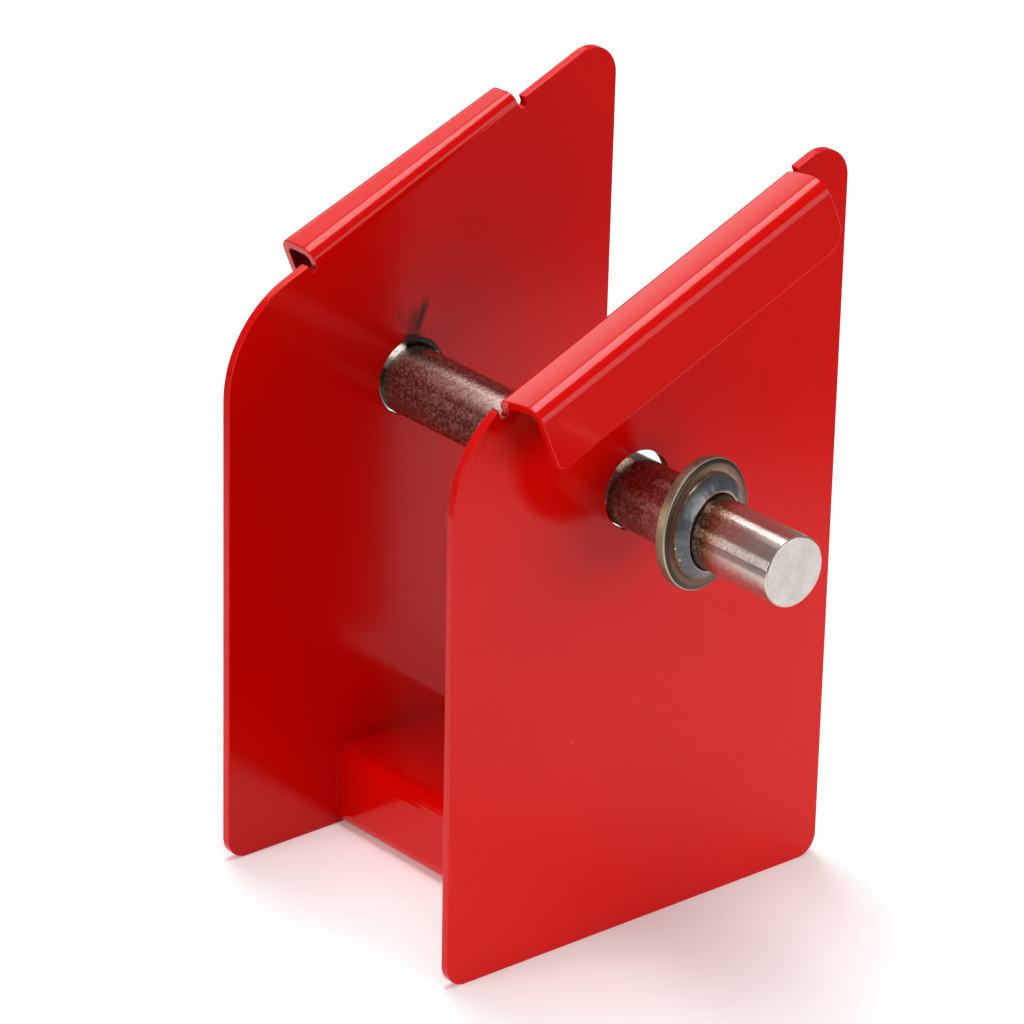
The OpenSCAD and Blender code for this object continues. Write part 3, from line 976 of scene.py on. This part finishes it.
def heat_tinted_washer():
    material, add, place, surface = new_material("heat_tinted_punched_steel")
    local = collar_coordinates(add, place)
    axes = add("SeparateXYZ", (local,))
    flat = add("CombineXYZ", (axes.outputs["X"], axes.outputs["Y"]))
    radius = add("VectorMath", (flat,), operation="LENGTH")
    cloud = add("TexNoise", {"Vector": place, "Scale": 1 / (5 * MM), "Detail": 4.0})
    # Clouds move the inner colours in and out, but leave the rolled edge's dark band and painted highlight
    # true
    calm = add("MapRange", (radius, washer_r - 3.2 * MM, washer_r - 2.0 * MM, 1.6 * MM, 0.0))
    uneven = add("Math", (cloud, 0.5), operation="SUBTRACT")
    radius_here = add("Math", (uneven, calm, radius), operation="MULTIPLY_ADD")
    share = add("MapRange", (radius_here, bead_r - 1 * MM, washer_r))
    # The pale stop at 0.945 is a painted highlight along the front edge of the rolled edge
    rings = add("ValToRGB", (share,), stops=(
        (0.0, "#7a5c4b"), (0.22, "#9c7863"), (0.34, "#8c6a5c"), (0.6, "#7c6350"), (0.7, "#4a3f34"),
        (0.9, "#3a332c"), (0.945, "#c4b79f"), (0.985, "#a08f77"), (1.0, "#8f7d66")))
    # Fine lines across the punched rim: noise that is long along the axis
    stretched = add("Mapping", {"Vector": local, "Scale": (1.0, 1.0, 0.2)})
    drag = add("TexNoise", {"Vector": stretched, "Scale": 1 / RIM_LINE, "Detail": 2.0})
    rim = add("MapRange", (radius, washer_r - 0.25 * MM, washer_r - 0.05 * MM))
    dark = add("MapRange", (drag, 0.35, 0.65, 0.72, 1.12))
    shade = add("Mix", (rim, 1.0, dark), data_type="FLOAT")
    colour = add("VectorMath", (rings, shade), operation="SCALE")
    lines = add("Math", (drag, rim), operation="MULTIPLY")
    grain = add("TexNoise", {"Vector": place, "Scale": 1 / (0.6 * MM), "Detail": 3.0})
    bump = add("Bump", {"Distance": 0.02 * MM, "Height": grain})
    bump = add("Bump", {"Distance": 0.05 * MM, "Height": lines, "Normal": bump})
    rough = add("MapRange", (cloud, 0.3, 0.7, 0.32, 0.5))
    fill(surface, {"Base Color": colour, "Metallic": 0.85, "Roughness": rough, "Normal": bump})
    return material


# %% [markdown]
# ## The washer
# A punch rolls one edge of a washer over and leaves the other sharper, so the side
# that faces the weld has the rounder edge.

# %% Turn the washer
ROLL_WIDE, ROLL_DEEP = 1.5 * MM, 1.1 * MM
washer = turned("collar_washer_tinted", eased([
    (bore_r, -washer_half), (washer_r - 1.1 * MM, -washer_half), (washer_r, -washer_half + 0.4 * MM),
    (washer_r, washer_half - ROLL_DEEP), (washer_r - ROLL_WIDE * 0.55, washer_half - 0.25 * MM),
    (washer_r - ROLL_WIDE, washer_half), (bore_r, washer_half)], 0.12 * MM), collar_place, closed=True)
washer.data.materials.append(heat_tinted_washer())
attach(washer, "bolt")
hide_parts("collar_washer")


# %% [markdown]
# ## Raw weld metal
# The weld round the bar was never painted. Its skin is a thin blue grey oxide, semi
# gloss and a little patchy, with a tan line along the outer toe. A pinkish line along
# the crest is a painted highlight, and the groove beside the bar is painted almost
# black, partly for oxide and partly as painted shade. The colours follow the bead,
# wherever the hand wandered, so they read the number across that the tree carried
# along, and not a radius.

# %% Weld materials
def raw_weld():
    material, add, place, surface = new_material("oxide_on_weld_metal")
    across = add("Attribute", attribute_name="across")
    cloud = add("TexNoise", {"Vector": place, "Scale": 1 / (3.5 * MM), "Detail": 4.0})
    uneven = add("Math", (cloud, 0.05, -0.025), operation="MULTIPLY_ADD")
    here = add("Math", (across.outputs["Fac"], uneven), operation="ADD")
    # The pinkish stops at the crest are a painted highlight, and the dark stops in the groove are partly
    # oxide and partly painted shade
    rings = add("ValToRGB", (here,), stops=(
        (0.0, "#8f6d58"), (0.06, "#9a7861"), (0.13, "#62605c"), (0.22, "#5c6063"), (0.48, "#62676b"),
        (0.56, "#6a6a6c"), (0.61, "#b08a7e"), (0.68, "#c9a191"), (0.73, "#7a665e"), (0.79, "#4a3d38"),
        (1.0, "#3a302c")))
    patch = add("MapRange", (cloud, 0.3, 0.7, 0.78, 1.22))
    colour = add("VectorMath", (rings, patch), operation="SCALE")
    grain = add("TexNoise", {"Vector": place, "Scale": 1 / (0.8 * MM), "Detail": 3.0})
    bump = add("Bump", {"Distance": 0.04 * MM, "Height": grain})
    rough = add("MapRange", (cloud, 0.3, 0.7, 0.26, 0.42))
    fill(surface, {"Base Color": colour, "Metallic": 0.8, "Roughness": rough, "Normal": bump})
    return material


def slag_glass():
    """Silica slag left on the bead: small hard drops of pale glass."""
    material, add, place, surface = new_material("silica_slag")
    cloud = add("TexNoise", {"Vector": place, "Scale": 1 / (0.4 * MM)})
    tone = add("ValToRGB", (cloud,), stops=((0.35, "#8f949a"), (0.6, "#eceff2")))
    fill(surface, {"Base Color": tone, "Roughness": 0.12, "IOR": 1.5})
    return material


# %% [markdown]
# ## The collar weld
# One bead runs right round the bar on the handle side of the washer. From its outer
# toe it rises to a crest close to the bar, and drops into a narrow groove beside it.
# It is laid with the same tree as the tube's welds, this time round a ring. The
# section is drawn as distances from the bar's surface and from the washer's face.

# %% Lay the weld round the bar
rise, reach = bead_top, bead_r - bar_r
section_rows = [(-1.2 * MM, 0.55, 1.0), (-1.2 * MM, -0.12, 0.0), (reach * 0.96, -0.12, 0.0)]
slope = [(1.0, 0.0), (0.995, 0.07), (0.975, 0.16), (0.93, 0.25), (0.86, 0.35), (0.77, 0.47), (0.67, 0.59),
         (0.56, 0.71), (0.46, 0.81), (0.37, 0.89), (0.29, 0.95), (0.23, 0.985), (0.19, 1.0), (0.16, 0.99),
         (0.135, 0.95), (0.12, 0.89), (0.08, 0.84), (0.02, 0.80), (-0.06, 0.78)]
for count, (out, up) in enumerate(slope):
    section_rows.append((reach * out, up, count / (len(slope) - 1)))
section = [(x, -up * rise, number) for x, up, number in section_rows]
ring_weld = lay("collar_weld_bead", section, {
    "Ring": True, "Ring radius": bar_r, "Steps": 30, "Ripple height": 0.018 * MM, "Ripple bow": 1.0,
    "Wander": 0.45 * MM, "End taper": 0.0, "Seed": 5.0, "Place": tuple(weld_place),
    "Turn": tuple(collar_turn), "Hug bar": 1.0, "Bar radius": bar_r, "Bar axis": (0.0, 0.0, bar_z),
    "Finish": raw_weld()})
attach(ring_weld, "bolt")
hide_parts("collar_weld")


# %% [markdown]
# ## Slag drops
# A few drops of silica stay on the lower side of the bead. They lie on a surface, in
# no order, so a second tree scatters points over the bead with a fixed seed, keeps
# those on one side, and puts a small ball on each.

# %% Scatter slag drops on the bead
def slag_tree():
    tree, add, given = new_rule("slag_drops", {
        "Bead": "Geometry", "Middle": "Vector", "Side": "Vector", "Narrow": "Float", "Least gap": "Float",
        "Per area": "Float", "Drop radius": "Float", "Seed": "Int", "Finish": "Material"}, "Drops")
    position = add("GeometryNodeInputPosition")
    from_middle = add("VectorMath", (position, given["Middle"]), operation="SUBTRACT")
    direction = add("VectorMath", (from_middle,), operation="NORMALIZE")
    towards = add("VectorMath", (direction, given["Side"]), operation="DOT_PRODUCT")
    chosen = add("Math", (towards, given["Narrow"]), operation="GREATER_THAN")
    across = add("GeometryNodeInputNamedAttribute", {"Name": "across"})
    shown = add("Math", (across, 0.13, 0.1), operation="COMPARE")
    both = add("Math", (chosen, shown), operation="MULTIPLY")
    points = add("GeometryNodeDistributePointsOnFaces", {
        "Mesh": given["Bead"], "Selection": both, "Distance Min": given["Least gap"],
        "Density Max": given["Per area"], "Seed": given["Seed"]}, distribute_method="POISSON")
    drop = add("GeometryNodeMeshIcoSphere", {"Radius": given["Drop radius"], "Subdivisions": 3})
    drops = add("GeometryNodeInstanceOnPoints", {"Points": points, "Instance": drop})
    drops = add("GeometryNodeRealizeInstances", {"Geometry": drops})
    drops = add("GeometryNodeSetShadeSmooth", {"Geometry": drops})
    drops = add("GeometryNodeSetMaterial", {"Geometry": drops, "Material": given["Finish"]})
    add("NodeGroupOutput", {"Drops": drops})
    return tree


drops = bpy.data.objects.new("collar_weld_slag", ring_weld.data.copy())
bpy.context.scene.collection.objects.link(drops)
lower_front = (collar_place.to_3x3() @ Vector((-0.85, -0.53, 0))).normalized()
follow_rule(drops, slag_tree(), {
    "Middle": tuple(weld_place), "Side": tuple(lower_front), "Narrow": 0.88, "Least gap": 4.5 * MM,
    "Per area": 1.5e6, "Drop radius": 0.42 * MM, "Seed": 4, "Finish": slag_glass()})
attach(drops, "bolt")


# %% [markdown]
# ## The studio
# Glossy paint and plating show the room more than themselves, so the lights are made
# as plain soft panels of known brightness. A wide one high on the left lights the lands
# of the hems, a narrow one straight overhead draws the pale line along each bend, a
# low one at the handle side lights the outer face and fills the foot of each bend, and
# a small one in front lights the front edges.
# The floor is a roll of white paper that glows a little of its own, a painted light
# that stands in for a table lit from below and washes shadows out. Its sides soften
# into grey, a painted shade for the room just out of view, which keeps the
# reflections in the paint deep, and it runs far enough back that its end is never seen.
#
# The picture is shown with the Standard view transform, which keeps a strong red as
# strong as the paint is.

# %% Lay the floor
FLOOR_HALF = 6.0
ROLL_WIDTH_WAY, ROLL_HALF, ROLL_FADE, ROLL_GLOW = (0.645, 0.764, 0.0), 0.33, 0.17, 0.15
ROOM_SHADE_GREY = "#9c9c9c"


def pale_floor():
    material, add, place, surface = new_material("pale_floor")
    cloud = add("TexNoise", {"Vector": place, "Scale": 2.0})
    tone = add("ValToRGB", (cloud,), stops=((0.3, "#f8f8f8"), (0.7, "#fbfbfb")))
    sideways = add("VectorMath", (place, ROLL_WIDTH_WAY), operation="DOT_PRODUCT")
    sideways = add("Math", (sideways,), operation="ABSOLUTE")
    # Off the paper the floor turns grey and stops glowing: painted shade for the room
    off_roll = add("MapRange", (sideways, ROLL_HALF, ROLL_HALF + ROLL_FADE),
                   interpolation_type="SMOOTHSTEP")
    tone = add("Mix", (off_roll, tone, ROOM_SHADE_GREY), data_type="RGBA")
    lit = add("Mix", (off_roll, "#ffffff", "#000000"), data_type="RGBA")
    fill(surface, {"Base Color": tone, "Roughness": 0.9, "Specular IOR Level": 0.1,
                   "Emission Color": lit, "Emission Strength": ROLL_GLOW})
    return material


floor = new_piece("floor", [(-FLOOR_HALF, -FLOOR_HALF, 0), (FLOOR_HALF, -FLOOR_HALF, 0),
                            (FLOOR_HALF, FLOOR_HALF, 0), (-FLOOR_HALF, FLOOR_HALF, 0)], [(0, 1, 2, 3)])
floor.data.materials.append(pale_floor())
floor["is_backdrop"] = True
print(f"floor: {2 * FLOOR_HALF:.0f} m wide, paper roll {2 * ROLL_HALF:.2f} m wide")

# %% Sky and lights
SKY = 0.262
world = bpy.data.worlds.new("soft_room")
bpy.context.scene.world = world
world.use_nodes = True
world.node_tree.nodes.clear()
add = adder(world.node_tree)
sky = add("Background", {"Color": "#ffffff", "Strength": SKY})
add("OutputWorld", (sky,))


def soft_panel(name, middle, wide, high, brightness, aim=(0, 0, 0.12)):
    """A rectangular area light that looks at the clamp. Brightness is its radiance."""
    data = bpy.data.lights.new(name, "AREA")
    data.shape, data.size, data.size_y = "RECTANGLE", wide, high
    data.energy = brightness * math.pi * wide * high
    panel = bpy.data.objects.new(name, data)
    panel.location = middle
    panel.rotation_euler = (Vector(middle) - Vector(aim)).to_track_quat("Z", "Y").to_euler()
    panel.visible_camera = False
    bpy.context.scene.collection.objects.link(panel)
    print(f"{name}: radiance {brightness}, {data.energy:.0f} W")


soft_panel("left_ceiling", (-1.60, 0.33, 1.32), 1.5, 1.5, 1.5)
soft_panel("overhead", (-0.12, 0.05, 1.70), 0.48, 1.3, 10.2)
soft_panel("handle_side", (1.75, 0.60, 0.55), 1.6, 1.0, 3.05)
soft_panel("front", (-0.28, -1.70, 0.60), 0.8, 0.8, 5.0)

# %% [markdown]
# ## The camera
# A long lens from 2.6 m away keeps upright edges almost parallel. The camera stands
# at the front corner on the handle side, about 25 degrees above level, and is held
# one degree off upright.

# %% Place the camera
AZIMUTH, ELEVATION, ROLL = map(math.radians, (49.808, 24.601, 1.009))
AIM, DISTANCE = Vector((0, -0.005, 0.110)), 2.579734
SLIDE_RIGHT, SLIDE_UP = 0.002202, 0.022456
SENSOR, FOCAL_LENGTH = 36.0, 263.671875
back = Vector((math.sin(AZIMUTH) * math.cos(ELEVATION), -math.cos(AZIMUTH) * math.cos(ELEVATION),
               math.sin(ELEVATION)))
level_right = Vector((math.cos(AZIMUTH), math.sin(AZIMUTH), 0))
level_up = back.cross(level_right)
right = math.cos(ROLL) * level_right + math.sin(ROLL) * level_up
up = math.cos(ROLL) * level_up - math.sin(ROLL) * level_right
lens = bpy.data.cameras.new("long_lens")
lens.sensor_width, lens.lens = SENSOR, FOCAL_LENGTH
lens.dof.use_dof = False
lens.clip_start, lens.clip_end = 0.1, 50.0
camera = bpy.data.objects.new("camera", lens)
turned_to = Matrix((right, up, back)).transposed().to_4x4()
stand = AIM + back * DISTANCE + right * SLIDE_RIGHT + up * SLIDE_UP
camera.matrix_world = Matrix.Translation(stand) @ turned_to
bpy.context.scene.collection.objects.link(camera)
bpy.context.scene.camera = camera
bpy.context.scene.view_settings.view_transform = "Standard"
print(f"lens {lens.lens:.0f} mm, camera at {[round(c, 3) for c in camera.matrix_world.translation]}")

# %% [markdown]
# ## Print the sizes
# The dressed clamp has to fill the same box as the CAD model. Both boxes are written
# down.

# %% Write the sizes
visual_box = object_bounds()
for name, box in (("CAD", cad_box), ("visual", visual_box)):
    print(name, [round((high - low) / MM, 2) for low, high in zip(*box)], "mm")
